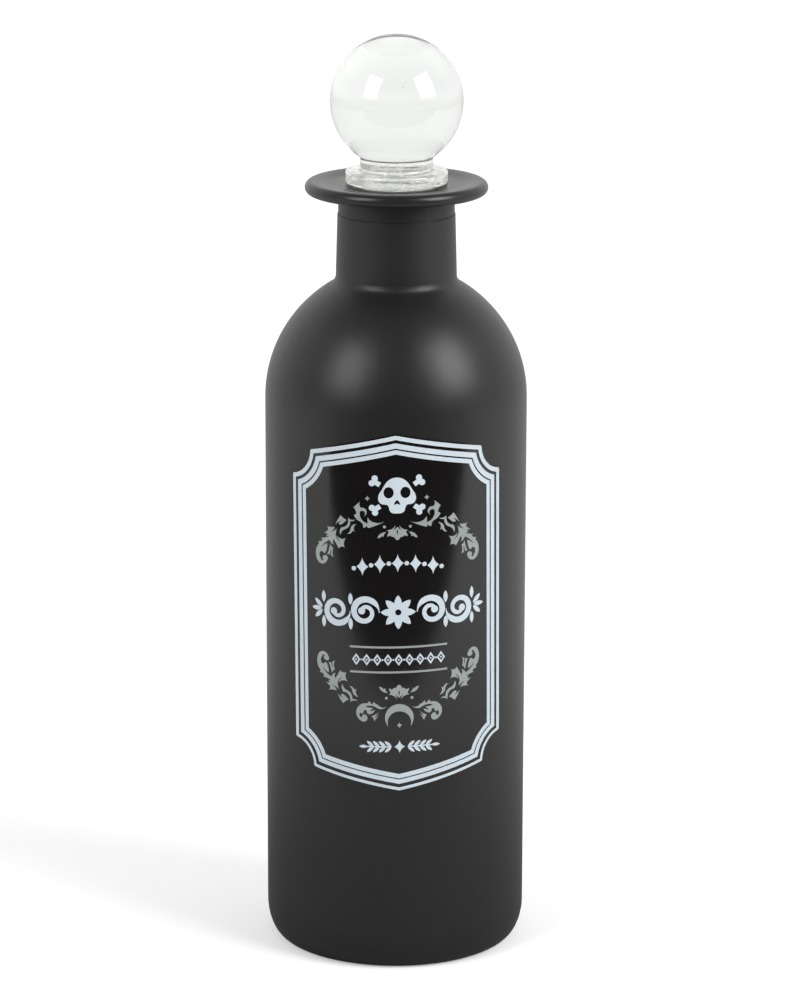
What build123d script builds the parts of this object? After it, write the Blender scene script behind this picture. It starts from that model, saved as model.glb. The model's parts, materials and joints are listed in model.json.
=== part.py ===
from build123d import *
from math import acos, ceil, cos, degrees, pi, radians, sin, tan
import os

# A round glass bottle with a ball stopper and a wrapped label. Millimetres, +Z up.
# The origin is the centre of the base on the table, and the label faces -Y.

# Bottle, outside
body_diameter = 85.0
side_height = 182.8  # from the table to the top of the straight side
heel_rise = 11.3
heel_inset = 5.7
shoulder_rise = 43.9
shoulder_past_axis = 2.7  # the shoulder's oval is centred this far beyond the axis
shoulder_blend = 3.0
neck_foot_diameter = 39.2
neck_top_diameter = 38.0
neck_length = 22.0  # from the shoulder to the parting line
collar_diameter = 37.5
collar_length = 6.4  # from the parting line to the lip
collar_blend = 0.9
parting_round = 0.2
lip_diameter = 59.0
lip_thickness = 4.2
lip_dish = 1.0
dish_slope = 8.0  # how far the dish slopes inward from the lip's crest

# Bottle, inside
wall = 3.0
bore_diameter = 29.0
mouth_round = 0.8
bore_blend = 2.0
base_thickness = 6.5
floor_round = 9.0
push_up = 3.5
bearing_width = 3.0

# Stopper
ball_diameter = 43.0
stem_diameter = 23.8
stem_gap = 4.0  # what shows of the stem between disc and ball
disc_diameter = 33.2
disc_thickness = 4.6
disc_round = 1.0
plug_diameter = 22.0
plug_length = 27.0
plug_round = 2.0
groove_depth = 0.5
groove_width = 3.0

# Seal sleeve round the plug
sleeve_wall = 1.2
sleeve_top_drop = 0.8  # below the disc
sleeve_end_gap = 3.0  # what the plug stands out below
fin_count = 5
fin_thickness = 0.8
fin_rise = 0.6
bead_depth = 0.4

# Fits
seat_clearance = 0.05
turn_clearance = 0.05
fin_clearance = 0.05

# Label film and its printed layer
film_thickness = 0.2
ink_thickness = 0.1
film_margin = 0.45  # bare film outside the frame
label_width = 75.2
label_peak = 58.7  # from the label's middle to its upper and lower points
label_middle_height = 120.8
label_offset = 0.64  # to the right of the front
label_lean = 0.7  # degrees, upright lines
label_rise = 1.37  # degrees, level lines
gable_slope = 11.7  # degrees
notch_radius = 8.7
notch_outset = 0.6
notch_height = 52.6
frame_round = 0.7

# The frame's lines and gaps from the outside in, at the top and sides and then at the bottom
outer_line = 1.35
outer_gap = 1.05
middle_line = 1.65
inner_gap = 0.5
inner_line = 1.4
low_outer_line = 0.95
low_outer_gap = 1.2
low_middle_line = 1.4
low_inner_gap = 0.4
low_inner_line = 1.45

# Places of the print, up from the label's middle, as shares of the way to its point
skull_place_share = 0.669
palmette_place_share = 0.504
upper_spray_place_share = 0.511
arch_place_share = 0.291
band_place_share = 0.015
chain_place_share = -0.254
lower_spray_place_share = -0.472
lower_palmette_place_share = -0.479
crescent_place_share = -0.584
laurel_place_share = -0.749
print_offset = 0.25
print_sheet_width = 75.2  # the label that the ornaments below are sized for
print_sheet_peak = 58.7

# Skull and crossed bones
skull_width = 12.1
bone_angle = 32.5
bone_gap = 1.0  # between the skull and where a bone comes out from behind it
bone_shaft = 1.6
bone_shaft_length = 2.5
knob_radius = 1.0
knob_spread = 1.85

# Small ornaments
sparkle_radius = 0.9
sparkle_spread = 19.0
sparkle_drop = 1.0  # below the skull's middle
dot_radius = 0.46
dot_spread = 8.2
dot_drop = 0.5  # past the root of a palmette
palmette_length = 4.9
palmette_slit_start = 1.25  # from its root
palmette_slit_length = 1.9
palmette_slit_width = 0.4
crescent_radius = 4.6
crescent_depth = 2.4
crescent_horn = 3.55
crescent_star_width = 1.7
crescent_star_tall = 2.1
crescent_star_drop = 2.5

# Leaf sprays
spray_reach = 28.0  # from the middle line to the outermost curl

# Arched row of lozenges and beads
lozenge_pitch = 5.7
lozenge_width = 3.9
lozenge_tall = 6.0
arch_bead_radius = 0.72
arch_sag = 1.9  # the fall from the middle to the ends of the row
lozenge_count = 5
lozenge_side_share = 0.38
star_side_share = 0.36

# Large scroll band
band_height = 11.2
rosette_radius = 5.6
rosette_petals = 8
rosette_petal_width = 2.4
rosette_eye = 1.0
scroll_gap = 0.5  # between the rosette and the first scroll
scroll_link = 0.25  # between the middles of two scrolls' strokes
scroll_count = 2
scroll_stroke = 1.9
scroll_turns = 1.45
scroll_bead = 1.15
curl_core_share = 0.24
curl_ease = 1.15
curl_width_shares = (0.15, 1.0, 1.1, 1.0, 0.85, 0.7, 0.6)
band_leaf_start = 2.2
band_leaf_length = 3.9
band_leaf_width = 1.5
finial_start = 0.7
finial_spread = 42.0

# Ruled chain
rule_spread = 8.3
rule_length = 31.9
rule_thickness = 0.65
chain_count = 9
chain_pitch = 3.45
chain_link_width = 2.75
chain_link_tall = 3.9
chain_stroke = 0.5
chain_bead = 0.3

# Laurel row
laurel_half_length = 13.2
laurel_pairs = 4
laurel_leaf_length = 2.9
laurel_leaf_width = 1.0
laurel_angle = 40.0
laurel_stem = 0.45
laurel_star_width = 3.4
laurel_star_tall = 4.2
laurel_gap = 0.9  # between the star and the first leaves

# Drawing steps
curl_stations = 31
wrap_stations = 6  # the fewest along an edge
wrap_step = 1.0  # the most between two of them along a curved edge
cut_overrun = 5.0
same_ring_share = 0.1  # an edge within this share of the rounding is the one to round

# Worked out from the sizes above
body_radius = body_diameter / 2
neck_foot_radius = neck_foot_diameter / 2
neck_top_radius = neck_top_diameter / 2
collar_radius = collar_diameter / 2
lip_radius = lip_diameter / 2
bore_radius = bore_diameter / 2
plug_radius = plug_diameter / 2
disc_radius = disc_diameter / 2
stem_radius = stem_diameter / 2
ball_radius = ball_diameter / 2
heel_radius = body_radius - heel_inset
bearing_radius = heel_radius - bearing_width
inner_radius = body_radius - wall
floor_height = push_up + base_thickness
shoulder_reach = body_radius + shoulder_past_axis


def shoulder_angle(radius, reach):
    """degrees along the shoulder's oval to the place where it has this radius"""
    return degrees(acos((radius + shoulder_past_axis) / reach))


outer_join_angle = shoulder_angle(neck_foot_radius, shoulder_reach)
inner_join_angle = shoulder_angle(bore_radius, shoulder_reach - wall)
shoulder_top = side_height + shoulder_rise * sin(radians(outer_join_angle))
bore_foot = side_height + (shoulder_rise - wall) * sin(radians(inner_join_angle))
parting_height = shoulder_top + neck_length
lip_foot = parting_height + collar_length
lip_crest = lip_foot + lip_thickness
seat_height = lip_crest - lip_dish
rim_radius = lip_radius - lip_thickness / 2
disc_foot = seat_height + seat_clearance
disc_top = disc_foot + disc_thickness
plug_foot = disc_foot - plug_length
ball_sink = (ball_radius**2 - stem_radius**2) ** 0.5
ball_height = disc_top + stem_gap + ball_sink
groove_height = disc_foot - plug_length / 2
sleeve_inner = plug_radius + turn_clearance
sleeve_outer = sleeve_inner + sleeve_wall
sleeve_top = disc_foot - sleeve_top_drop
sleeve_foot = plug_foot + sleeve_end_gap
film_radius = body_radius + film_thickness
ink_radius = film_radius + ink_thickness


def turned(outline):
    """a solid of revolution from a closed outline drawn as radius and height"""
    return revolve(Plane.XZ * make_face(outline), Axis.Z)


def round_ring(solid, radius, height, fillet_radius):
    """rounds the circular edge that lies at this radius and height"""
    near = fillet_radius * same_ring_share
    rings = [
        edge
        for edge in solid.edges().filter_by(GeomType.CIRCLE)
        if abs(edge.radius - radius) < near and abs(edge.arc_center.Z - height) < near
    ]
    return fillet(rings, fillet_radius)


# Bottle


def bottle():
    side = [
        Line((bearing_radius, 0), (heel_radius, 0)),
        EllipticalCenterArc((heel_radius, heel_rise), heel_inset, heel_rise, start_angle=-90, arc_size=90),
        Line((body_radius, heel_rise), (body_radius, side_height)),
        EllipticalCenterArc(
            (-shoulder_past_axis, side_height), shoulder_reach, shoulder_rise, arc_size=outer_join_angle
        ),
        Line((neck_foot_radius, shoulder_top), (neck_top_radius, parting_height)),
        Line((neck_top_radius, parting_height), (collar_radius, parting_height)),
        Line((collar_radius, parting_height), (collar_radius, lip_foot)),
    ]
    rim_middle = lip_foot + lip_thickness / 2
    dish_radius = rim_radius - dish_slope
    dish_middle = (rim_radius - dish_slope / 2, lip_crest - lip_dish / 2)
    lip = [
        Line((collar_radius, lip_foot), (rim_radius, lip_foot)),
        ThreePointArc((rim_radius, lip_foot), (lip_radius, rim_middle), (rim_radius, lip_crest)),
        TangentArc((rim_radius, lip_crest), dish_middle, tangent=(-1, 0)),
        TangentArc((dish_radius, seat_height), dish_middle, tangent=(1, 0)),
        Line((dish_radius, seat_height), (bore_radius, seat_height)),
    ]
    inside = [
        Line((bore_radius, seat_height), (bore_radius, bore_foot)),
        EllipticalCenterArc(
            (-shoulder_past_axis, side_height),
            shoulder_reach - wall,
            shoulder_rise - wall,
            arc_size=inner_join_angle,
        ),
        Line((inner_radius, side_height), (inner_radius, floor_height)),
        Line((inner_radius, floor_height), (0, floor_height)),
    ]
    cap_radius = (bearing_radius**2 + push_up**2) / (2 * push_up)
    half_angle = acos(1 - push_up / cap_radius) / 2
    halfway = (cap_radius * sin(half_angle), push_up - cap_radius * (1 - cos(half_angle)))
    under = [
        Line((0, floor_height), (0, push_up)),
        ThreePointArc((0, push_up), halfway, (bearing_radius, 0)),
    ]
    solid = turned(side + lip + inside + under)
    solid = round_ring(solid, neck_foot_radius, shoulder_top, shoulder_blend)
    solid = round_ring(solid, bore_radius, bore_foot, bore_blend)
    solid = round_ring(solid, inner_radius, floor_height, floor_round)
    solid = round_ring(solid, bore_radius, seat_height, mouth_round)
    solid = round_ring(solid, collar_radius, lip_foot, collar_blend)
    return round_ring(solid, neck_top_radius, parting_height, parting_round)


# Stopper and its seal


def stopper():
    groove_foot = groove_height - groove_width / 2
    groove_top = groove_height + groove_width / 2
    groove_radius = plug_radius - groove_depth
    below = Polyline(
        (0, plug_foot),
        (plug_radius, plug_foot),
        (plug_radius, groove_foot),
        (groove_radius, groove_foot + groove_depth),
        (groove_radius, groove_top - groove_depth),
        (plug_radius, groove_top),
        (plug_radius, disc_foot),
        (disc_radius, disc_foot),
        (disc_radius, disc_top),
        (stem_radius, disc_top),
        (stem_radius, disc_top + stem_gap),
    )
    ball = ThreePointArc(
        (stem_radius, disc_top + stem_gap), (ball_radius, ball_height), (0, ball_height + ball_radius)
    )
    solid = turned([below, ball, Line((0, ball_height + ball_radius), (0, plug_foot))])
    solid = round_ring(solid, plug_radius, plug_foot, plug_round)
    solid = round_ring(solid, disc_radius, disc_foot, disc_round)
    return round_ring(solid, disc_radius, disc_top, disc_round)


def seal_sleeve():
    """a thin ribbed tube whose fins close against the bore and whose bead sits in the groove"""
    fin_radius = bore_radius - fin_clearance
    pitch = (sleeve_top - sleeve_foot) / (fin_count + 1)
    outline = [(sleeve_inner, sleeve_foot), (sleeve_outer, sleeve_foot)]
    for number in range(1, fin_count + 1):
        foot = sleeve_foot + number * pitch
        outline += [
            (sleeve_outer, foot),
            (fin_radius, foot + fin_rise),
            (fin_radius, foot + fin_rise + fin_thickness / 2),
            (sleeve_outer, foot + fin_thickness),
        ]
    bead_radius = sleeve_inner - bead_depth
    bead_half = groove_width / 2 - groove_depth - bead_depth
    outline += [
        (sleeve_outer, sleeve_top),
        (sleeve_inner, sleeve_top),
        (sleeve_inner, groove_height + bead_half + bead_depth),
        (bead_radius, groove_height + bead_half),
        (bead_radius, groove_height - bead_half),
        (sleeve_inner, groove_height - bead_half - bead_depth),
    ]
    return turned(Polyline(*outline, close=True))


# Flat drawing: every ornament is drawn on a flat sheet whose origin is the label's middle


def scaled(shares, unit):
    """points given as shares of one size"""
    return [(x * unit, y * unit) for x, y in shares]


def smooth_width(widths, place):
    """the width at a place from 0 to 1 along a stroke"""
    spans = len(widths) - 1
    span = min(int(place * spans), spans - 1)
    past = place * spans - span
    blend = (1 - cos(pi * past)) / 2
    return widths[span] * (1 - blend) + widths[span + 1] * blend


def stroke(points, widths):
    """a round-ended pen stroke on a smooth line through the points, swelling and thinning as widths say"""
    line = Spline(*points)
    left = []
    right = []
    for station in range(curl_stations):
        place = station / (curl_stations - 1)
        middle = line @ place
        heading = (line % place).normalized()
        aside = Vector(-heading.Y, heading.X) * (smooth_width(widths, place) / 2)
        left.append(middle + aside)
        right.append(middle - aside)
    back = (line @ 0) - (line % 0).normalized() * (widths[0] / 2)
    ahead = (line @ 1) + (line % 1).normalized() * (widths[-1] / 2)
    ends = [ThreePointArc(left[0], back, right[0]), ThreePointArc(left[-1], ahead, right[-1])]
    return make_face([Spline(*left), Spline(*right)] + ends)


def petal(length, width):
    """a pointed leaf along +X from the origin"""
    belly = ThreePointArc((0, 0), (length / 2, width / 2), (length, 0))
    back = ThreePointArc((length, 0), (length / 2, -width / 2), (0, 0))
    return make_face([belly, back])


def arcs(points):
    """arcs through points that are a corner, a place on the way, the next corner and so on"""
    return [ThreePointArc(*points[first : first + 3]) for first in range(0, len(points) - 2, 2)]


def cut_leaf(points):
    """a leaf with a toothed edge, from the points of its arcs all the way round"""
    return make_face(arcs(points + points[:1]))


def diamond_corners(across, tall):
    return [(across / 2, 0), (0, tall / 2), (-across / 2, 0), (0, -tall / 2)]


def hollow_star(across, tall, side_share):
    """a four-pointed star; its sides are straight at a share of a half and hollow below that"""
    corners = diamond_corners(across, tall)
    sides = []
    for number, corner in enumerate(corners):
        following = corners[(number + 1) % len(corners)]
        between = ((corner[0] + following[0]) * side_share, (corner[1] + following[1]) * side_share)
        sides.append(ThreePointArc(corner, between, following))
    return make_face(sides)


def lozenge(across, tall):
    return make_face(Polyline(*diamond_corners(across, tall), close=True))


def mirrored_leaf(points):
    """a leaf from the arcs of its right half, which end on the middle line"""
    half = arcs(points)
    return make_face(half + [mirror(edge, Plane.YZ) for edge in half])


def joined(shapes):
    """overlapping flat shapes as one drawing"""
    first, *others = shapes
    return first + others if others else Sketch() + first


def both_sides(shapes):
    """shapes drawn to the right of the middle line, with their mirror images"""
    drawing = joined(shapes)
    return drawing.faces() + mirror(drawing, Plane.YZ).faces()


# The label's frame


def plaque(inset, low_inset):
    """the gabled outline with hollow corners, drawn in by the insets of its upper and its lower part"""
    slope = radians(gable_slope)
    half = label_width / 2 - inset
    peak = label_peak - inset / cos(slope)
    low_peak = label_peak - low_inset / cos(slope)
    fall = half * tan(slope)
    upper = [(half, peak - fall), (0, peak), (-half, peak - fall)]
    lower = [(-half, fall - low_peak), (0, -low_peak), (half, fall - low_peak)]
    shape = make_face(Polyline(*upper, *lower, close=True))
    corner = label_width / 2 + notch_outset
    for x in (corner, -corner):
        shape -= Pos(x, notch_height) * Circle(notch_radius + inset)
        shape -= Pos(x, -notch_height) * Circle(notch_radius + low_inset)
    return shape


def frame_band(outside, inside, rounding):
    """the line between two outlines, each given as its upper and its lower inset"""
    outer = plaque(*outside)
    if rounding > 0:
        sharp = [vertex for vertex in outer.vertices() if abs(vertex.X) > label_width / 4]
        outer = fillet(sharp, rounding)
    return (outer - plaque(*inside)).faces()


# Skull and crossed bones

cranium_shares = ((0, 0.483), (0.16, 0.446), (0.27, 0.36), (0.43, 0.105), (0.5, -0.08))
cheek_shares = ((0.5, -0.08), (0.44, -0.205), (0.3, -0.243))
jaw_shares = ((0.3, -0.243), (0.225, -0.295), (0.204, -0.38), (0.16, -0.452), (0.08, -0.48), (0, -0.483))
half_tangents = (((1, 0), (0.1, -1)), ((-0.1, -1), (-1, 0)), ((-1, 0), (-1, 0)))
eye_place_share = (0.221, 0.078)
eye_size_share = (0.134, 0.153)
nose_shares = ((0, -0.12), (0.055, -0.175), (0.083, -0.255), (0.045, -0.245), (0, -0.218))
skull_edge_share = 0.45  # from its middle to its edge, along the bones


def skull():
    spans = zip((cranium_shares, cheek_shares, jaw_shares), half_tangents)
    half = [Spline(*scaled(shares, skull_width), tangents=tangents) for shares, tangents in spans]
    bone = make_face(half + [mirror(edge, Plane.YZ) for edge in half])
    eye = Ellipse(eye_size_share[0] * skull_width, eye_size_share[1] * skull_width)
    for side in (1, -1):
        bone -= Pos(side * eye_place_share[0] * skull_width, eye_place_share[1] * skull_width) * eye
    return (bone - mirrored_leaf(scaled(nose_shares, skull_width))).faces()


def crossed_bones():
    """the four ends of two bones that cross behind the skull"""
    start = skull_edge_share * skull_width + bone_gap
    shaft = Pos(start + bone_shaft_length / 2) * Rectangle(bone_shaft_length, bone_shaft)
    far = start + bone_shaft_length
    knobs = [Pos(far, side * knob_spread / 2) * Circle(knob_radius) for side in (1, -1)]
    end = joined([shaft] + knobs)
    angles = (bone_angle, 180 - bone_angle, 180 + bone_angle, -bone_angle)
    return [face for angle in angles for face in (Rot(0, 0, angle) * end).faces()]


# Small ornaments


# The right half of the leaf from its tip to its root, and the sprig at its right, in palmette lengths
palmette_shares = (
    (0, 1), (0.11, 0.94), (0.19, 0.78), (0.25, 0.79), (0.33, 0.77), (0.4, 0.74), (0.45, 0.67),
    (0.55, 0.72), (0.66, 0.75), (0.63, 0.6), (0.56, 0.49), (0.61, 0.38), (0.71, 0.32), (0.35, 0.25),
    (0.11, -0.03), (0.17, 0.17), (0.27, 0.4), (0.13, 0.24), (0, 0.12),
)
sprig_shares = (
    (0.72, 0.46), (1.02, 0.52), (1.31, 0.86), (1.12, 0.82), (1, 0.69), (0.96, 0.74), (0.9, 0.77), (0.87, 0.62),
)


def palmette(pointing):
    """a toothed leaf with a sprig at each side, pointing up for 1 and down for -1"""
    slit = Pos(0, palmette_slit_start) * Rot(0, 0, 90) * petal(palmette_slit_length, palmette_slit_width)
    leaf = mirrored_leaf(scaled(palmette_shares, palmette_length)) - slit
    faces = leaf.faces() + both_sides([cut_leaf(scaled(sprig_shares, palmette_length))])
    return faces if pointing > 0 else [mirror(face, Plane.XZ) for face in faces]


def crescent():
    """a moon with its horns down, and a star between them"""
    top = crescent_radius - crescent_depth
    horn_height = -((crescent_radius**2 - crescent_horn**2) ** 0.5)
    drop = top - horn_height
    hollow = (crescent_horn**2 + drop**2) / (2 * drop)
    moon = Circle(crescent_radius) - Pos(0, top - hollow) * Circle(hollow)
    star = hollow_star(crescent_star_width, crescent_star_tall, star_side_share)
    return moon.faces() + (Pos(0, -crescent_star_drop) * star).faces()


# Leaf sprays, drawn to the right of the label's middle line and up from their inner tip. Each leaf
# is the points of its arcs all the way round, in twenty-eighths of the reach.

spray_grid_share = 28
outer_leaf_shares = (
    (
        (20.0, -2.2), (21.1, -3.1), (22.6, -3.6), (21.4, -2.9), (20.7, -1.7), (22.2, -1.9),
        (23.7, -1.7), (23.1, -2.4), (23.2, -3.1), (23.9, -3.6), (24.6, -4.2), (23.9, -4.1),
        (23.3, -4.1), (23.5, -4.5), (23.9, -4.9), (23.3, -4.9), (22.8, -5.0), (24.4, -5.6),
        (25.9, -5.9), (25.5, -6.1), (25.3, -6.5), (26.1, -7.0), (27.1, -7.1), (26.8, -7.4),
        (26.7, -7.9), (28.0, -10.6), (27.3, -13.4), (25.4, -14.3), (23.6, -12.9), (23.8, -11.5),
        (24.8, -11.6), (25.3, -12.1), (25.0, -12.9), (25.6, -13.2), (25.9, -12.7), (26.5, -11.6),
        (26.2, -10.3), (25.8, -10.3), (25.5, -9.9), (25.1, -10.5), (24.4, -10.7), (23.7, -9.2),
        (23.5, -7.4), (24.9, -8.2), (26.0, -9.3), (24.4, -7.3), (22.6, -6.2), (22.0, -7.1),
        (21.0, -7.6), (21.4, -6.8), (21.1, -5.8), (20.2, -7.2), (19.3, -8.7), (18.7, -8.1),
        (18.1, -8.0), (17.7, -8.0), (17.2, -8.3), (17.5, -6.6), (16.8, -5.1), (18.5, -5.4),
        (20.0, -4.4), (19.4, -5.7), (18.6, -6.7), (19.8, -5.6), (20.4, -4.2), (20.2, -3.3),
    ),
    (
        (22.4, -7.2), (22.8, -9.1), (23.6, -11.1), (22.9, -10.9), (22.5, -11.1), (22.4, -10.0),
        (22.1, -9.1), (22.1, -10.1), (22.2, -11.2), (21.7, -11.4), (21.2, -11.8), (21.6, -10.3),
        (21.3, -8.7), (22.0, -8.2),
    ),
)
middle_leaf_shares = (
    (
        (18.5, 2.3), (19.5, 0.9), (20.4, -0.9), (19.3, 0.1), (18.1, 0.6), (18.7, 0.2),
        (19.3, -0.5), (18.9, -0.7), (18.4, -0.8), (17.4, 0.0), (16.5, 0.9), (17.6, 1.5),
    ),
    (
        (16.1, 1.8), (15.0, 1.1), (13.5, 1.2), (14.6, 0.6), (15.3, 0.6), (15.6, -1.0),
        (16.9, -2.1), (18.0, -2.8), (18.6, -4.2), (18.9, -2.8), (18.2, -1.6), (16.5, -0.8),
        (16.0, 0.7), (15.9, 1.3),
    ),
    (
        (13.2, -0.3), (14.6, -0.8), (15.2, -2.1), (15.6, -3.0), (16.3, -3.6), (15.2, -3.4),
        (14.5, -2.5), (14.1, -2.6), (13.7, -2.9), (14.1, -1.9),
    ),
)
inner_leaf_shares = (
    (
        (11.9, 7.1), (12.9, 6.3), (14.1, 5.2), (13.4, 4.2), (13.1, 3.1), (13.5, 3.0),
        (14.0, 2.7), (13.4, 1.7), (12.5, 0.9), (11.6, 0.4), (11.0, -0.3), (11.0, -0.9),
        (10.8, -1.4), (10.2, -1.1), (9.8, -0.6), (9.6, -1.1), (9.3, -1.4), (7.0, -0.6),
        (4.1, 0.8), (6.2, 0.3), (8.2, 0.8), (8.9, 1.3), (9.4, 2.1), (9.5, 1.0),
        (9.4, 0.1), (11.5, 1.4), (12.0, 3.8), (11.1, 4.2), (10.7, 2.5), (9.8, 4.1),
        (11.5, 5.1), (12.1, 5.9),
    ),
)
lower_leaf_shares = (
    (
        (4.1, 2.7), (5.4, 3.1), (6.6, 2.4), (7.6, 1.8), (8.4, 1.1), (8.4, 1.6),
        (8.6, 2.1), (9.1, 1.7), (9.7, 0.9), (10.0, 1.5), (10.5, 1.8), (14.0, 5.3),
        (12.0, 7.9), (10.3, 6.7), (11.2, 5.5), (11.9, 5.8), (12.1, 6.6), (12.8, 6.2),
        (12.5, 4.9), (12.0, 5.2), (11.6, 5.0), (11.5, 4.4), (11.0, 4.0), (10.6, 4.2),
        (10.5, 4.7), (10.2, 5.2), (9.6, 5.4), (8.5, 4.9), (7.8, 3.8), (8.7, 4.2),
        (9.6, 4.4), (9.0, 3.8), (8.4, 3.3), (9.7, 3.2), (11.0, 2.9), (9.2, 2.5),
        (7.4, 3.1), (5.7, 3.6),
    ),
    (
        (6.6, 4.6), (7.8, 5.5), (9.0, 6.1), (8.4, 6.7), (8.1, 7.8), (7.4, 6.7),
        (6.6, 5.4), (7.2, 6.0), (7.9, 6.6), (7.4, 5.6),
    ),
)


def leaves(table):
    """the leaves of a table, with their mirror images at the left"""
    unit = spray_reach / spray_grid_share
    return both_sides([cut_leaf(scaled(points, unit)) for points in table])


def upper_sprays():
    return leaves(outer_leaf_shares) + leaves(middle_leaf_shares) + leaves(inner_leaf_shares)


def lower_sprays():
    faces = leaves(outer_leaf_shares) + leaves(middle_leaf_shares) + leaves(lower_leaf_shares)
    return [mirror(face, Plane.XZ) for face in faces]


# Rows of ornament


def arched_row():
    """hollow-sided lozenges with beads between them, on a shallow arch"""
    end = lozenge_count * lozenge_pitch / 2
    bead = Circle(arch_bead_radius)
    star = hollow_star(lozenge_width, lozenge_tall, lozenge_side_share)
    faces = []
    for number in range(-lozenge_count, lozenge_count + 1):
        x = number * lozenge_pitch / 2
        is_bead = (number + lozenge_count) % 2 == 0
        shape = bead if is_bead else star
        faces += (Pos(x, -arch_sag * (x / end) ** 2) * shape).faces()
    return faces


def curl(radius, way):
    """points on a scroll that starts at the left and winds inward, clockwise for a way of -1"""
    points = []
    for station in range(curl_stations):
        along = station / (curl_stations - 1)
        angle = pi + way * 2 * pi * scroll_turns * along
        reach = radius * (1 - (1 - curl_core_share) * along**curl_ease)
        points.append((reach * cos(angle), reach * sin(angle)))
    return points


def scroll_band():
    """a rosette with bold scrolls and their leaves at each side, ending in a leaf finial"""
    radius = (band_height - scroll_stroke) / 2
    turn = 360 / rosette_petals
    one = petal(rosette_radius, rosette_petal_width)
    flower = joined([Rot(0, 0, number * turn) * one for number in range(rosette_petals)])
    rosette = flower - Circle(rosette_eye)
    widths = [share * scroll_stroke for share in curl_width_shares]
    leaf = petal(band_leaf_length, band_leaf_width)
    far_leaf = Pos(finial_start) * leaf
    shapes = []
    for number in range(scroll_count):
        centre = rosette_radius + scroll_gap + radius + number * (2 * radius + scroll_link)
        points = curl(radius, -1 if number % 2 == 0 else 1)
        shapes.append(Pos(centre, 0) * stroke(points, widths))
        shapes.append(Pos(centre, 0) * Pos(*points[-1]) * Circle(scroll_bead))
        corner = centre + radius + scroll_link / 2
        shapes += [Pos(corner, side * band_leaf_start) * Rot(0, 0, side * 90) * leaf for side in (1, -1)]
    finial = [Pos(corner, 0) * Rot(0, 0, tilt) * far_leaf for tilt in (-finial_spread, 0, finial_spread)]
    return rosette.faces() + both_sides(shapes + finial)


def rules():
    """two thin rules, above and below the chain"""
    rule = Rectangle(rule_length, rule_thickness)
    return [(Pos(0, side * rule_spread / 2) * rule).face() for side in (1, -1)]


def chain():
    """open lozenges with beads inside and between them"""
    slant = (chain_link_width**2 + chain_link_tall**2) ** 0.5
    shrink = 1 - 2 * chain_stroke * slant / (chain_link_width * chain_link_tall)
    link = lozenge(chain_link_width, chain_link_tall)
    link -= lozenge(chain_link_width * shrink, chain_link_tall * shrink)
    bead = Circle(chain_bead)
    faces = []
    for number in range(chain_count):
        x = (number - (chain_count - 1) / 2) * chain_pitch
        faces += (Pos(x) * link).faces() + (Pos(x) * bead).faces()
        if number > 0:
            faces += (Pos(x - chain_pitch / 2) * bead).faces()
    return faces


def laurel_row():
    """a laurel sprig each way from a star"""
    start = laurel_star_width / 2 + laurel_gap
    end = laurel_half_length - laurel_leaf_length
    pitch = (end - start) / laurel_pairs
    stem_end = end + laurel_leaf_width
    sprig = [Pos((start + stem_end) / 2) * Rectangle(stem_end - start, laurel_stem)]
    for number in range(laurel_pairs):
        for side in (1, -1):
            place = Pos(start + number * pitch) * Rot(0, 0, side * laurel_angle)
            sprig.append(place * petal(laurel_leaf_length, laurel_leaf_width))
    sprig.append(Pos(end) * petal(laurel_leaf_length, laurel_leaf_width))
    star = hollow_star(laurel_star_width, laurel_star_tall, lozenge_side_share)
    return both_sides(sprig) + star.faces()


# Wrapping


def on_body(x, y):
    """a point of the flat label as it lies on the round body, seen from the front"""
    along = label_offset + x - y * sin(radians(label_lean))
    height = label_middle_height + y + x * sin(radians(label_rise))
    return Vector(body_radius * sin(along / body_radius), 0, height)


def wrapped_edge(edge):
    """the line that an edge of the flat drawing follows on the body"""
    steps = wrap_stations
    if edge.geom_type != GeomType.LINE:
        steps = max(steps, ceil(edge.length / wrap_step))
    places = [edge @ (step / steps) for step in range(steps + 1)]
    return Spline(*[on_body(place.X, place.Y) for place in places])


def wrapped_wire(wire):
    return Wire([wrapped_edge(edge) for edge in wire.edges()])


def wrapped(faces, inner, outer):
    """flat faces as thin solids on the front of the body, from one radius to another"""
    skin = Cylinder(outer, 2 * side_height) - Cylinder(inner, 2 * side_height + cut_overrun)
    solids = []
    for face in faces:
        outline = Face(wrapped_wire(face.outer_wire()), [wrapped_wire(wire) for wire in face.inner_wires()])
        block = extrude(outline, amount=outer + cut_overrun, dir=(0, -1, 0))
        solids += (block & skin).solids()
    return Compound(children=solids)


# Label film and print, each as faces of the flat drawing

frame_insets = [(0, 0)]
for upper_width, lower_width in (
    (outer_line, low_outer_line),
    (outer_gap, low_outer_gap),
    (middle_line, low_middle_line),
    (inner_gap, low_inner_gap),
    (inner_line, low_inner_line),
):
    upper_inset, lower_inset = frame_insets[-1]
    frame_insets.append((upper_inset + upper_width, lower_inset + lower_width))
print_fit = min(label_width / print_sheet_width, label_peak / print_sheet_peak)


def placed(faces, place_share):
    """an ornament at its height on the label, no larger than the label allows"""
    place = Pos(print_offset, place_share * label_peak)
    return [placed_face for face in faces for placed_face in (place * scale(face, print_fit)).faces()]


def sparkles():
    """two small stars beside the skull"""
    star = hollow_star(2 * sparkle_radius, 2 * sparkle_radius, star_side_share)
    return both_sides([Pos(sparkle_spread / 2, -sparkle_drop) * star])


def dots(pointing):
    """two dots beside the root of a palmette"""
    return both_sides([Pos(dot_spread / 2, pointing * dot_drop) * Circle(dot_radius)])


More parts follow.
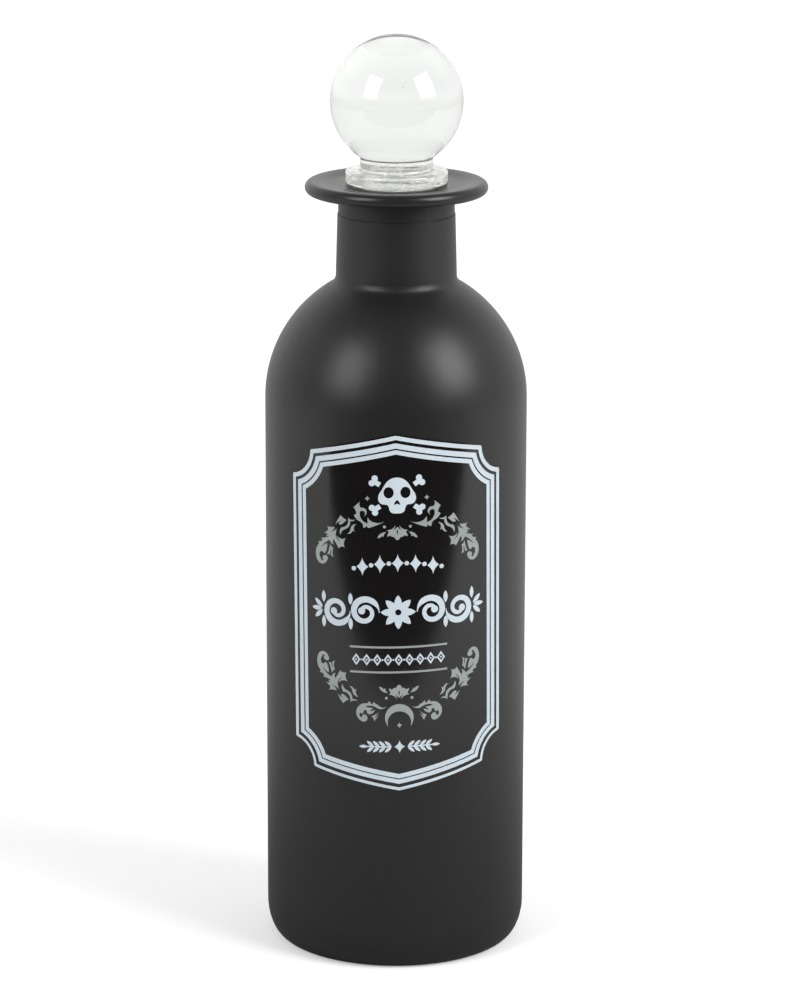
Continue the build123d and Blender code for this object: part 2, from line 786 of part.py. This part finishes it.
def all_prints():
    palmettes = placed(palmette(-1), palmette_place_share) + placed(palmette(1), lower_palmette_place_share)
    sparks = placed(sparkles(), skull_place_share) + placed(dots(-1), palmette_place_share)
    return {
        "print_frame_outer": frame_band(frame_insets[0], frame_insets[1], frame_round),
        "print_frame_middle": frame_band(frame_insets[2], frame_insets[3], 0),
        "print_frame_inner": frame_band(frame_insets[4], frame_insets[5], 0),
        "print_skull": placed(skull(), skull_place_share),
        "print_crossed_bones": placed(crossed_bones(), skull_place_share),
        "print_sparkles": sparks + placed(dots(1), lower_palmette_place_share),
        "print_upper_sprays": placed(upper_sprays(), upper_spray_place_share),
        "print_lower_sprays": placed(lower_sprays(), lower_spray_place_share),
        "print_palmettes": palmettes,
        "print_crescent": placed(crescent(), crescent_place_share),
        "print_arched_row": placed(arched_row(), arch_place_share),
        "print_scroll_band": placed(scroll_band(), band_place_share),
        "print_rules": placed(rules(), chain_place_share),
        "print_lozenge_chain": placed(chain(), chain_place_share),
        "print_laurel_row": placed(laurel_row(), laurel_place_share),
    }


def main():
    nodes = {
        "bottle": bottle(),
        "stopper": stopper(),
        "seal_sleeve": seal_sleeve(),
        "label_film": wrapped(plaque(-film_margin, -film_margin).faces(), body_radius, film_radius),
    }
    for name, faces in all_prints().items():
        nodes[name] = wrapped(faces, film_radius, ink_radius)
    os.makedirs("parts", exist_ok=True)
    for name, shape in nodes.items():
        export_step(shape, f"parts/{name}.step")
        print(name, len(shape.solids()), "solids", round(shape.volume, 1), "mm3")


if __name__ == "__main__":
    main()
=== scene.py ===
import json
from math import atan2, cos, pi, radians, sin

import bpy
from mathutils import Euler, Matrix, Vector, noise


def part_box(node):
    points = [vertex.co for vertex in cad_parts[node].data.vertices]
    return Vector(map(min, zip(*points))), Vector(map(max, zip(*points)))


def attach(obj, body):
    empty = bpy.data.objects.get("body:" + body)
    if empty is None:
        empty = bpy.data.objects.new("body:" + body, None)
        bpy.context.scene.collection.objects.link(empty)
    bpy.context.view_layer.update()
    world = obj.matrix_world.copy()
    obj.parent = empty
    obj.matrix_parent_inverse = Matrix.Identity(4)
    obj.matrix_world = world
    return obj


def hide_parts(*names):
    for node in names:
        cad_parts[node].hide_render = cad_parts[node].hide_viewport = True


# The looks of a round matt black glass bottle with a clear ball stopper and a printed label.
# Metres, +Z up, the label faces -Y. The construction comes from the frame.

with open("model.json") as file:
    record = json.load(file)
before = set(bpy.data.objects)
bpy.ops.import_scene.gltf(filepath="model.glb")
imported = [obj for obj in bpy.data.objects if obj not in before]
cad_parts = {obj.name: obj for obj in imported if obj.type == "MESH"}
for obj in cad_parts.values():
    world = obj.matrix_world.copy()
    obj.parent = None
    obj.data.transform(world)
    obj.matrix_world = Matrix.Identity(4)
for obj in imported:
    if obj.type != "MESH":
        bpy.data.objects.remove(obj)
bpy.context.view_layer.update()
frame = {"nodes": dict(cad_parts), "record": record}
nodes = frame["nodes"]
MM = 0.001


# Nodes: numbers as Python expressions, any other node through one method

MIX_FACTOR, MIX_FIRST, MIX_SECOND, MIX_RESULT = 0, 6, 7, 2  # the Mix node's sockets for colours


class Wire:
    """A socket whose value can be used in sums; each sum adds a Math node."""

    def __init__(self, tree, socket):
        self.tree = tree
        self.socket = socket

    def math(self, operation, *values):
        return self.tree.add("ShaderNodeMath", {"operation": operation}, dict(enumerate(values)))

    def __add__(self, other):
        return self.math("ADD", self, other)

    def __sub__(self, other):
        return self.math("SUBTRACT", self, other)

    def __rsub__(self, other):
        return self.math("SUBTRACT", other, self)

    def __mul__(self, other):
        return self.math("MULTIPLY", self, other)

    def __pow__(self, other):
        return self.math("POWER", self, other)

    __radd__ = __add__
    __rmul__ = __mul__


class Tree:
    """The nodes of one material or of the world."""

    def __init__(self, owner):
        owner.use_nodes = True
        self.nodes = owner.node_tree.nodes
        self.links = owner.node_tree.links
        self.nodes.clear()

    def add(self, kind, settings=None, inputs=None, output=0):
        """adds a node: first its settings, then the values or links of its sockets"""
        node = self.nodes.new(kind)
        for name, value in (settings or {}).items():
            setattr(node, name, value)
        for name, value in (inputs or {}).items():
            if isinstance(value, Wire):
                self.links.new(value.socket, node.inputs[name])
            else:
                node.inputs[name].default_value = value
        return Wire(self, node.outputs[output]) if node.outputs else node

    def place(self):
        """where a point is on the piece, in metres"""
        return self.add("ShaderNodeTexCoord", output="Object")

    def parts(self, vector):
        """the X, Y and Z of a vector"""
        first = self.add("ShaderNodeSeparateXYZ", inputs={"Vector": vector})
        return [Wire(self, output) for output in first.socket.node.outputs]

    def seen_by(self, kind):
        """1 for a ray of this kind and 0 for any other"""
        return self.add("ShaderNodeLightPath", output=f"Is {kind} Ray")

    def ramp(self, value, low, high, to_low=0.0, to_high=1.0):
        """a number that goes smoothly from one value to another as the given one goes from low to high"""
        settings = {"interpolation_type": "SMOOTHSTEP"}
        inputs = dict(enumerate([value, low, high, to_low, to_high]))
        return self.add("ShaderNodeMapRange", settings, inputs)

    def speckle(self, size, detail):
        """noise from 0 to 1 whose grains are about this size in metres"""
        inputs = {"Vector": self.place(), "Scale": 1 / size, "Detail": detail}
        return self.add("ShaderNodeTexNoise", inputs=inputs)

    def cells(self, size):
        """distance to the nearest of points scattered about this far apart"""
        inputs = {"Vector": self.place(), "Scale": 1 / size}
        return self.add("ShaderNodeTexVoronoi", inputs=inputs, output="Distance")

    def blend(self, factor, first, second):
        """a colour between two"""
        inputs = {MIX_FACTOR: factor, MIX_FIRST: first, MIX_SECOND: second}
        return self.add("ShaderNodeMix", {"data_type": "RGBA"}, inputs, MIX_RESULT)

    def bump(self, height, depth, under=None):
        """the surface's normal with this height, from 0 to 1, standing up by the depth in metres"""
        inputs = {"Height": height, "Distance": depth, "Strength": 1.0}
        if under:
            inputs["Normal"] = under
        return self.add("ShaderNodeBump", inputs=inputs)


def grey(level):
    return (level, level, level, 1.0)


def finish(name, paint):
    """a material whose surface is what paint returns for its tree"""
    material = bpy.data.materials.new(name)
    tree = Tree(material)
    tree.add("ShaderNodeOutputMaterial", inputs={"Surface": paint(tree)})
    return material


def principled(tree, inputs):
    return tree.add("ShaderNodeBsdfPrincipled", inputs=inputs)


# The stopper's sizes, as in the solid

stopper_low, stopper_high = (Vector(corner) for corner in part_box("stopper"))
ball_radius = 21.5 * MM
stem_radius = 11.9 * MM
stem_gap = 4.0 * MM
disc_radius = 16.6 * MM
disc_thickness = 4.6 * MM
plug_radius = 11.0 * MM
groove_drop = 13.5 * MM  # from the disc to the middle of the groove
groove_half = 1.5 * MM
groove_depth = 0.5 * MM
ball_middle = stopper_high.z - ball_radius
ball_foot = ball_middle - (ball_radius**2 - stem_radius**2) ** 0.5
disc_top = ball_foot - stem_gap
disc_foot = disc_top - disc_thickness


# Finishes. In a pair of numbers a ramp starts and ends; a second pair holds its levels there.

glass_index = 1.5  # of refraction

coat_colour = (0.0108, 0.0100, 0.0097, 1.0)
coat_cloud_colour = (0.0142, 0.0132, 0.0128, 1.0)
coat_dust_colour = (0.045, 0.043, 0.041, 1.0)
coat_clouds = 28 * MM
coat_cloud_edge = (0.35, 0.65)
coat_cloud_share = 0.35
coat_dust_gap = 5.5 * MM
coat_dust_edge = (0.018, 0.006)
coat_dust_share = 0.35
coat_grain = 0.45 * MM
coat_grain_height = 0.007 * MM
coat_ripple = 9 * MM
coat_ripple_height = 0.012 * MM
coat_rough = 0.35
coat_cloud_rough = 0.05
coat_grain_rough = 0.03
coat_sheen = 0.45
bore_edge = 15.4 * MM  # inside this radius the glass is bare
bore_blend = 0.3 * MM
bore_rough = 0.07
neck_rise = (216 * MM, 228 * MM)  # the neck is rougher than the body
neck_fall = (249 * MM, 247 * MM)
neck_rough = 0.08
lip_rise = (250.5 * MM, 252 * MM)  # the lip is smoother
lip_smooth = 0.08


def matt_black_coat(tree):
    """sprayed matt black on glass: a fine even grain, faint clouds and a few specks of dust"""
    x, y, z = tree.parts(tree.place())
    radius = (x * x + y * y) ** 0.5
    clouds = tree.speckle(coat_clouds, detail=3)
    grain = tree.speckle(coat_grain, detail=2)
    dust = tree.ramp(tree.cells(coat_dust_gap), *coat_dust_edge)
    inside = tree.ramp(radius, bore_edge, bore_edge - bore_blend)
    cloudy = tree.ramp(clouds, *coat_cloud_edge) * coat_cloud_share
    colour = tree.blend(cloudy, coat_colour, coat_cloud_colour)
    colour = tree.blend(dust * coat_dust_share, colour, coat_dust_colour)
    neck = tree.ramp(z, *neck_rise) * tree.ramp(z, *neck_fall)
    lip = tree.ramp(z, *lip_rise)
    rough = coat_rough + clouds * coat_cloud_rough + grain * coat_grain_rough
    rough = rough + neck * neck_rough - lip * lip_smooth
    rough = rough * (1 - inside) + bore_rough * inside
    ripple = tree.bump(tree.speckle(coat_ripple, detail=1), coat_ripple_height)
    normal = tree.bump(grain * (1 - inside), coat_grain_height, ripple)
    return principled(
        tree,
        {
            "Base Color": colour,
            "Roughness": rough,
            "Normal": normal,
            "IOR": glass_index,
            "Specular IOR Level": coat_sheen,
        },
    )


film_colour = (0.0070, 0.0064, 0.0062, 1.0)
film_dust_colour = (0.06, 0.058, 0.055, 1.0)
film_dust_gap = 6.5 * MM
film_dust_edge = (0.016, 0.006)
film_dust_share = 0.5
film_peel = 1.6 * MM
film_peel_height = 0.003 * MM
film_waves = 14 * MM
film_wave_height = 0.02 * MM
film_rough = 0.11
film_peel_rough = 0.04
film_dust_rough = 0.3
film_sheen = 0.5


def gloss_black_film(tree):
    """smooth black film under the print: a slight orange peel, long soft waves and specks of dust"""
    peel = tree.speckle(film_peel, detail=2)
    waves = tree.speckle(film_waves, detail=1)
    dust = tree.ramp(tree.cells(film_dust_gap), *film_dust_edge)
    colour = tree.blend(dust * film_dust_share, film_colour, film_dust_colour)
    normal = tree.bump(peel, film_peel_height, tree.bump(waves, film_wave_height))
    return principled(
        tree,
        {
            "Base Color": colour,
            "Roughness": film_rough + peel * film_peel_rough + dust * film_dust_rough,
            "Normal": normal,
            "IOR": glass_index,
            "Specular IOR Level": film_sheen,
        },
    )


ink_grain = 0.35 * MM
ink_grain_height = 0.004 * MM
ink_grain_edge = (0.62, 0.8)
ink_grain_share = 0.18
ink_clouds = 9 * MM
ink_cloud_edge = (0.3, 0.7)
ink_cloud_share = 0.5
ink_pinhole_gap = 2.1 * MM
ink_pinhole_edge = (0.035, 0.012)
ink_pinhole_share = 0.45
ink_pinhole_colour = grey(0.02)
ink_rough = 0.34
ink_grain_rough = 0.12


def ink(colour, worn):
    """screen print: an even colour with fine grain, tiny pinholes and a soft satin sheen"""

    def paint(tree):
        grain = tree.speckle(ink_grain, detail=3)
        clouds = tree.speckle(ink_clouds, detail=2)
        pinholes = tree.ramp(tree.cells(ink_pinhole_gap), *ink_pinhole_edge) * ink_pinhole_share
        shade = tree.blend(tree.ramp(clouds, *ink_cloud_edge) * ink_cloud_share, colour, worn)
        shade = tree.blend(tree.ramp(grain, *ink_grain_edge) * ink_grain_share, shade, worn)
        shade = tree.blend(pinholes, shade, ink_pinhole_colour)
        rough = ink_rough + grain * ink_grain_rough
        return principled(
            tree, {"Base Color": shade, "Roughness": rough, "Normal": tree.bump(grain, ink_grain_height)}
        )

    return paint


glass_colour = (0.938, 0.962, 0.940, 1.0)
glass_line_colour = (0.86, 0.88, 0.74, 1.0)  # the olive line where the ball meets its stem
glass_line_rise = (ball_foot - 0.1 * MM, ball_foot + 0.25 * MM)
glass_line_fall = (ball_foot + 0.9 * MM, ball_foot + 0.4 * MM)
glass_haze = 3 * MM
glass_rough = 0.006
glass_haze_rough = 0.01
chill_colour = (0.78, 0.77, 0.75, 1.0)
chill_rough = 0.22
chill_size = 4.0 * MM
chill_edge = (0.35, 0.65)
chill_share = (0.17, 0.45)
chill_rise = (ball_foot + 0.5 * MM, ball_foot - 0.4 * MM)


def clear_stopper_glass(tree):
    """pressed clear glass, very faintly green; the mould's chill marks pale the stem and the disc"""
    _, _, z = tree.parts(tree.place())
    line = tree.ramp(z, *glass_line_rise) * tree.ramp(z, *glass_line_fall)
    clear = principled(
        tree,
        {
            "Base Color": tree.blend(line, glass_colour, glass_line_colour),
            "Roughness": glass_rough + tree.speckle(glass_haze, detail=2) * glass_haze_rough,
            "Transmission Weight": 1.0,
            "IOR": glass_index,
        },
    )
    marks = tree.ramp(tree.speckle(chill_size, detail=2), *chill_edge, *chill_share)
    pale = tree.ramp(z, *chill_rise) * marks
    chill = principled(tree, {"Base Color": chill_colour, "Roughness": chill_rough, "IOR": glass_index})
    return tree.add("ShaderNodeMixShader", inputs={0: pale, 1: clear, 2: chill})


seal_colour = (0.80, 0.82, 0.81, 1.0)
seal_pale_colour = (0.88, 0.89, 0.88, 1.0)
seal_haze = 1.2 * MM
seal_haze_edge = (0.3, 0.7)
seal_haze_height = 0.01 * MM
seal_rough = 0.38
seal_haze_rough = 0.12
seal_clear_share = 0.35
seal_milk_share = 0.3
seal_milk_reach = 2 * MM
seal_index = 1.45


def milky_seal(tree):
    """soft translucent plastic with a faint haze"""
    haze = tree.speckle(seal_haze, detail=2)
    return principled(
        tree,
        {
            "Base Color": tree.blend(tree.ramp(haze, *seal_haze_edge), seal_colour, seal_pale_colour),
            "Roughness": seal_rough + haze * seal_haze_rough,
            "Normal": tree.bump(haze, seal_haze_height),
            "Transmission Weight": seal_clear_share,
            "Subsurface Weight": seal_milk_share,
            "Subsurface Radius": (seal_milk_reach, seal_milk_reach, seal_milk_reach),
            "IOR": seal_index,
        },
    )


white_ink = ink((0.53, 0.605, 0.655, 1.0), (0.48, 0.55, 0.60, 1.0))
grey_ink = ink((0.285, 0.315, 0.305, 1.0), (0.235, 0.262, 0.254, 1.0))

# by node for the four pieces, and by material slot for the figures of the print
finishes = {
    "bottle": finish("matt_black_coat", matt_black_coat),
    "label_film": finish("gloss_black_film", gloss_black_film),
    "seal_sleeve": finish("milky_seal", milky_seal),
    "stopper": finish("clear_stopper_glass", clear_stopper_glass),
    "white_print": finish("white_ink", white_ink),
    "grey_print": finish("grey_ink", grey_ink),
}
slots = {subpart["node"]: subpart["material_slot"] for subpart in frame["record"]["subparts"]}


def dress():
    """gives every node of the frame its finish"""
    for name, node in nodes.items():
        node.data.materials.clear()
        node.data.materials.append(finishes.get(name) or finishes[slots[name]])


dress()


# Stopper, turned finer than the solid, with the soft waves of pressed glass

turns = 192
ball_steps = 90
corner_steps = 6
run_step = 0.6 * MM
foot_rounding = 2 * MM
groove_rounding = 0.2 * MM
plug_rounding = 0.5 * MM
disc_rounding = 1.3 * MM
stem_rounding = 1.0 * MM
ball_wave = 14 * MM
ball_wave_depth = 0.10 * MM
stem_wave = 5.0 * MM
stem_wave_depth = 0.22 * MM
wave_fade = 1 * MM  # above and below the ball's foot
bubble_place = Vector((1.5 * MM, -5.0 * MM, 4.1 * MM))  # from the middle of the ball
bubble_radius = 0.3 * MM
bubble_steps = 12


def run(start, end):
    """points along a straight line, without its end"""
    steps = max(1, round((end - start).length / run_step))
    return [start.lerp(end, step / steps) for step in range(steps)]


def rounded_line(corners):
    """points along a line of corners, each with its rounding"""
    places = [Vector((radius, height)) for radius, height, _ in corners]
    points = []
    start = places[0]
    for number in range(1, len(places) - 1):
        before = (places[number - 1] - places[number]).normalized()
        after = (places[number + 1] - places[number]).normalized()
        rounding = corners[number][2]
        entry = places[number] + before * rounding
        leave = places[number] + after * rounding
        points += run(start, entry)
        for step in range(corner_steps):
            share = step / corner_steps
            points.append(entry.lerp(places[number], share).lerp(places[number].lerp(leave, share), share))
        start = leave
    return points + run(start, places[-1])


def stopper_outline():
    """radius and height from the foot of the plug, beside its middle, to just under the top of the ball"""
    groove = disc_foot - groove_drop
    groove_radius = plug_radius - groove_depth
    line = rounded_line(
        [
            (0, stopper_low.z, 0),
            (plug_radius, stopper_low.z, foot_rounding),
            (plug_radius, groove - groove_half, groove_rounding),
            (groove_radius, groove - groove_half + groove_depth, groove_rounding),
            (groove_radius, groove + groove_half - groove_depth, groove_rounding),
            (plug_radius, groove + groove_half, groove_rounding),
            (plug_radius, disc_foot, plug_rounding),
            (disc_radius, disc_foot, disc_rounding),
            (disc_radius, disc_top, disc_rounding),
            (stem_radius, disc_top, stem_rounding),
            (stem_radius, ball_foot, 0),
        ]
    )
    first = atan2(ball_foot - ball_middle, stem_radius)
    for step in range(ball_steps):
        angle = first + (pi / 2 - first) * step / ball_steps
        line.append(Vector((ball_radius * cos(angle), ball_middle + ball_radius * sin(angle))))
    return line[1:]


def pressed(point, outward):
    """a point of the glass drawn in a little by the waves, which are shorter on the stem and disc"""
    is_ball = point.z > ball_foot
    size, depth = (ball_wave, ball_wave_depth) if is_ball else (stem_wave, stem_wave_depth)
    fade = min(1, abs(point.z - ball_foot) / wave_fade)
    level = 0.5 + 0.5 * noise.noise(point / size)
    return point - outward * depth * level * fade


def add_bubble(vertices, faces):
    """a small bubble of air inside the ball, its faces turned inward"""
    middle = Vector((0, 0, ball_middle)) + bubble_place
    start = len(vertices)
    for row in range(1, bubble_steps):
        tilt = pi * row / bubble_steps
        for column in range(bubble_steps):
            turn = 2 * pi * column / bubble_steps
            across = Vector((sin(tilt) * cos(turn), sin(tilt) * sin(turn), cos(tilt)))
            vertices.append(middle + across * bubble_radius)
    top = len(vertices)
    vertices += [middle + Vector((0, 0, side * bubble_radius)) for side in (1, -1)]
    last = start + (bubble_steps - 2) * bubble_steps
    for column in range(bubble_steps):
        beside = (column + 1) % bubble_steps
        for row in range(bubble_steps - 2):
            first = start + row * bubble_steps
            second = first + bubble_steps
            faces.append((first + column, first + beside, second + beside, second + column))
        faces.append((top, start + beside, start + column))
        faces.append((top + 1, last + column, last + beside))


def pressed_stopper():
    """the stopper's outline turned about the axis and closed at both ends, with the bubble in it"""
    outline = stopper_outline()
    low = Vector((0, 0, stopper_low.z))
    high = Vector((0, 0, stopper_high.z))
    vertices = []
    for number, place in enumerate(outline):
        before = outline[max(number - 1, 0)]
        after = outline[min(number + 1, len(outline) - 1)]
        along = (after - before).normalized()
        for turn in range(turns):
            angle = 2 * pi * turn / turns
            aside = Vector((cos(angle), sin(angle), 0))
            outward = aside * along.y - Vector((0, 0, along.x))
            vertices.append(pressed(aside * place.x + Vector((0, 0, place.y)), outward))
    bottom = len(vertices)
    vertices += [low, high]
    faces = []
    last = (len(outline) - 1) * turns
    for turn in range(turns):
        beside = (turn + 1) % turns
        for number in range(len(outline) - 1):
            first = number * turns
            second = first + turns
            faces.append((first + turn, first + beside, second + beside, second + turn))
        faces.append((bottom, beside, turn))
        faces.append((bottom + 1, last + turn, last + beside))
    add_bubble(vertices, faces)
    mesh = bpy.data.meshes.new("glass_stopper")
    mesh.from_pydata(vertices, [], faces)
    mesh.shade_smooth()
    piece = bpy.data.objects.new("glass_stopper", mesh)
    bpy.context.scene.collection.objects.link(piece)
    mesh.materials.append(finishes["stopper"])
    piece.visible_shadow = False  # clear glass lets the light through to the seal and the lip
    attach(piece, "stopper_body")
    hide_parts("stopper")


pressed_stopper()


# Studio

floor_half = 8.0
floor_colour = grey(0.82)
floor_painted_shade = grey(0.02)  # painted shade: the colour mirrored rays see on the floor round the object's foot
floor_painted_shade_share = 0.62
floor_painted_shade_reach = (0.42, 0.07)
floor_away = (0.3, 1.6)
# the light that the paper adds for each kind of ray: near the object, and how much more far away
floor_camera = (0.3, 0.35)
floor_refracted = (0.22, 0.24)
floor_mirrored = 0.3  # far away alone

opening_front = -0.36  # the dark front of the light tent
opening_left = -0.57
opening_right = 0.88
opening_top = 0.20
# black of the sheet at the tent's open front, a painted dark reflection
painted_reflection_colour = grey(0.01)

mirrored_behind = (-0.25, 0.45, 0.45, 1.0)
mirrored_front = (-0.35, -0.75)
mirrored_front_dark = 0.8
mirrored_above = (0.5, 0.9)
mirrored_above_dark = 0.7
refracted_behind = (0.0, 0.5, 0.5, 0.97)
plain_behind = (-0.9, 0.2, 0.2, 0.72)

lamp_distance = 1.2
lamp_target = Vector((0, 0, 0.28))
softboxes = {  # azimuth and elevation in degrees from the camera's side, width, height and watts
    "softbox_left": (-47, 27, 0.54, 0.78, 7.4),
    "softbox_right": (57, 28, 0.64, 0.80, 12.5),
}


def quad(name, corners):
    """a flat sheet of the studio"""
    mesh = bpy.data.meshes.new(name)
    mesh.from_pydata(corners, [], [(0, 1, 2, 3)])
    piece = bpy.data.objects.new(name, mesh)
    bpy.context.scene.collection.objects.link(piece)
    return piece


def ray_kinds(tree):
    """1 for the camera's rays, for mirrored ones and for refracted ones"""
    refracted = tree.seen_by("Transmission")
    return tree.seen_by("Camera"), tree.seen_by("Glossy") * (1 - refracted), refracted


def pale_floor(tree):
    """white paper that reads as white in the picture and keeps the shadow; round the object's foot,
    mirrored rays see it darkened by painted shade
    """
    x, y, _ = tree.parts(tree.place())
    camera, mirrored, refracted = ray_kinds(tree)
    radius = (x * x + y * y) ** 0.5
    away = tree.ramp(radius, *floor_away)
    near = tree.ramp(radius, *floor_painted_shade_reach)
    strength = camera * (floor_camera[0] + away * floor_camera[1])
    strength = strength + refracted * (floor_refracted[0] + away * floor_refracted[1])
    strength = strength + mirrored * away * floor_mirrored
    # painted shade: for mirrored rays alone the floor darkens towards the object's foot
    colour = tree.blend(mirrored * near * floor_painted_shade_share, floor_colour, floor_painted_shade)
    paper = tree.add("ShaderNodeBsdfDiffuse", inputs={"Color": colour})
    lift = tree.add("ShaderNodeEmission", inputs={"Color": grey(1.0), "Strength": strength})
    return tree.add("ShaderNodeAddShader", inputs={0: paper, 1: lift})


# black sheet seen only in reflections: painted dark reflection of the unlit front
def painted_dark_reflection(tree):
    return tree.add("ShaderNodeBsdfDiffuse", inputs={"Color": painted_reflection_colour})


def add_floor():
    half = floor_half
    floor = quad("floor", [(-half, -half, 0), (half, -half, 0), (half, half, 0), (-half, half, 0)])
    floor.data.materials.append(finish("pale_floor", pale_floor))


def add_opening():
    """the dark front of the tent, a black sheet that only shows in reflections: a painted dark reflection
    """
    front = opening_front
    corners = [
        (opening_left, front, 0),
        (opening_right, front, 0),
        (opening_right, front, opening_top),
        (opening_left, front, opening_top),
    ]
    opening = quad("tent_opening", corners)
    opening.data.materials.append(finish("painted_dark_reflection", painted_dark_reflection))
    opening.visible_camera = False
    opening.visible_diffuse = False
    opening.visible_transmission = False
    opening.visible_shadow = False


def studio_light(tree):
    """white behind the object, darker above and in front; a plain even level for what it lights"""
    direction = tree.add("ShaderNodeTexCoord", output="Generated")
    _, y, z = tree.parts(direction)
    camera, mirrored, refracted = ray_kinds(tree)
    front = 1 - tree.ramp(y, *mirrored_front) * mirrored_front_dark
    above = 1 - tree.ramp(z, *mirrored_above) * mirrored_above_dark
    plain = (1 - camera) * (1 - mirrored) * (1 - refracted)
    strength = camera + mirrored * tree.ramp(y, *mirrored_behind) * front * above
    strength = strength + refracted * tree.ramp(y, *refracted_behind)
    strength = strength + plain * tree.ramp(y, *plain_behind)
    return tree.add("ShaderNodeBackground", inputs={"Color": grey(1.0), "Strength": strength})


def add_world():
    world = bpy.data.worlds.new("studio")
    bpy.context.scene.world = world
    tree = Tree(world)
    tree.add("ShaderNodeOutputWorld", inputs={"Surface": studio_light(tree)})


def add_softbox(name, azimuth, elevation, width, height, watts):
    """a soft lamp that looks at the stopper from this side"""
    a, e = radians(azimuth), radians(elevation)
    away = Vector((sin(a) * cos(e), -cos(a) * cos(e), sin(e)))
    data = bpy.data.lights.new(name, "AREA")
    data.shape = "RECTANGLE"
    data.size = width
    data.size_y = height
    data.energy = watts
    lamp = bpy.data.objects.new(name, data)
    lamp.location = lamp_target + away * lamp_distance
    lamp.rotation_euler = away.to_track_quat("Z", "Y").to_euler()
    bpy.context.scene.collection.objects.link(lamp)


add_floor()
add_opening()
add_world()
for name, settings in softboxes.items():
    add_softbox(name, *settings)


# Camera, where the photograph was taken from

camera_place = Vector((1.35 * MM, -1333.1 * MM, 488.5 * MM))
camera_tilt = 90 - 14.32  # degrees up from looking straight down
camera_roll = 0.13  # degrees
camera_lens = 151.98
camera_sensor = 36.0
camera_near = 0.05
camera_far = 50.0


def add_camera():
    data = bpy.data.cameras.new("camera")
    data.sensor_width = camera_sensor
    data.lens = camera_lens
    data.clip_start = camera_near
    data.clip_end = camera_far
    camera = bpy.data.objects.new("camera", data)
    camera.location = camera_place
    turn = Euler((radians(camera_tilt), 0, 0)).to_matrix()
    roll = Euler((0, 0, radians(camera_roll))).to_matrix()
    camera.rotation_euler = (turn @ roll).to_euler()
    bpy.context.scene.collection.objects.link(camera)
    bpy.context.scene.camera = camera


add_camera()
bpy.context.scene.view_settings.view_transform = "Standard"
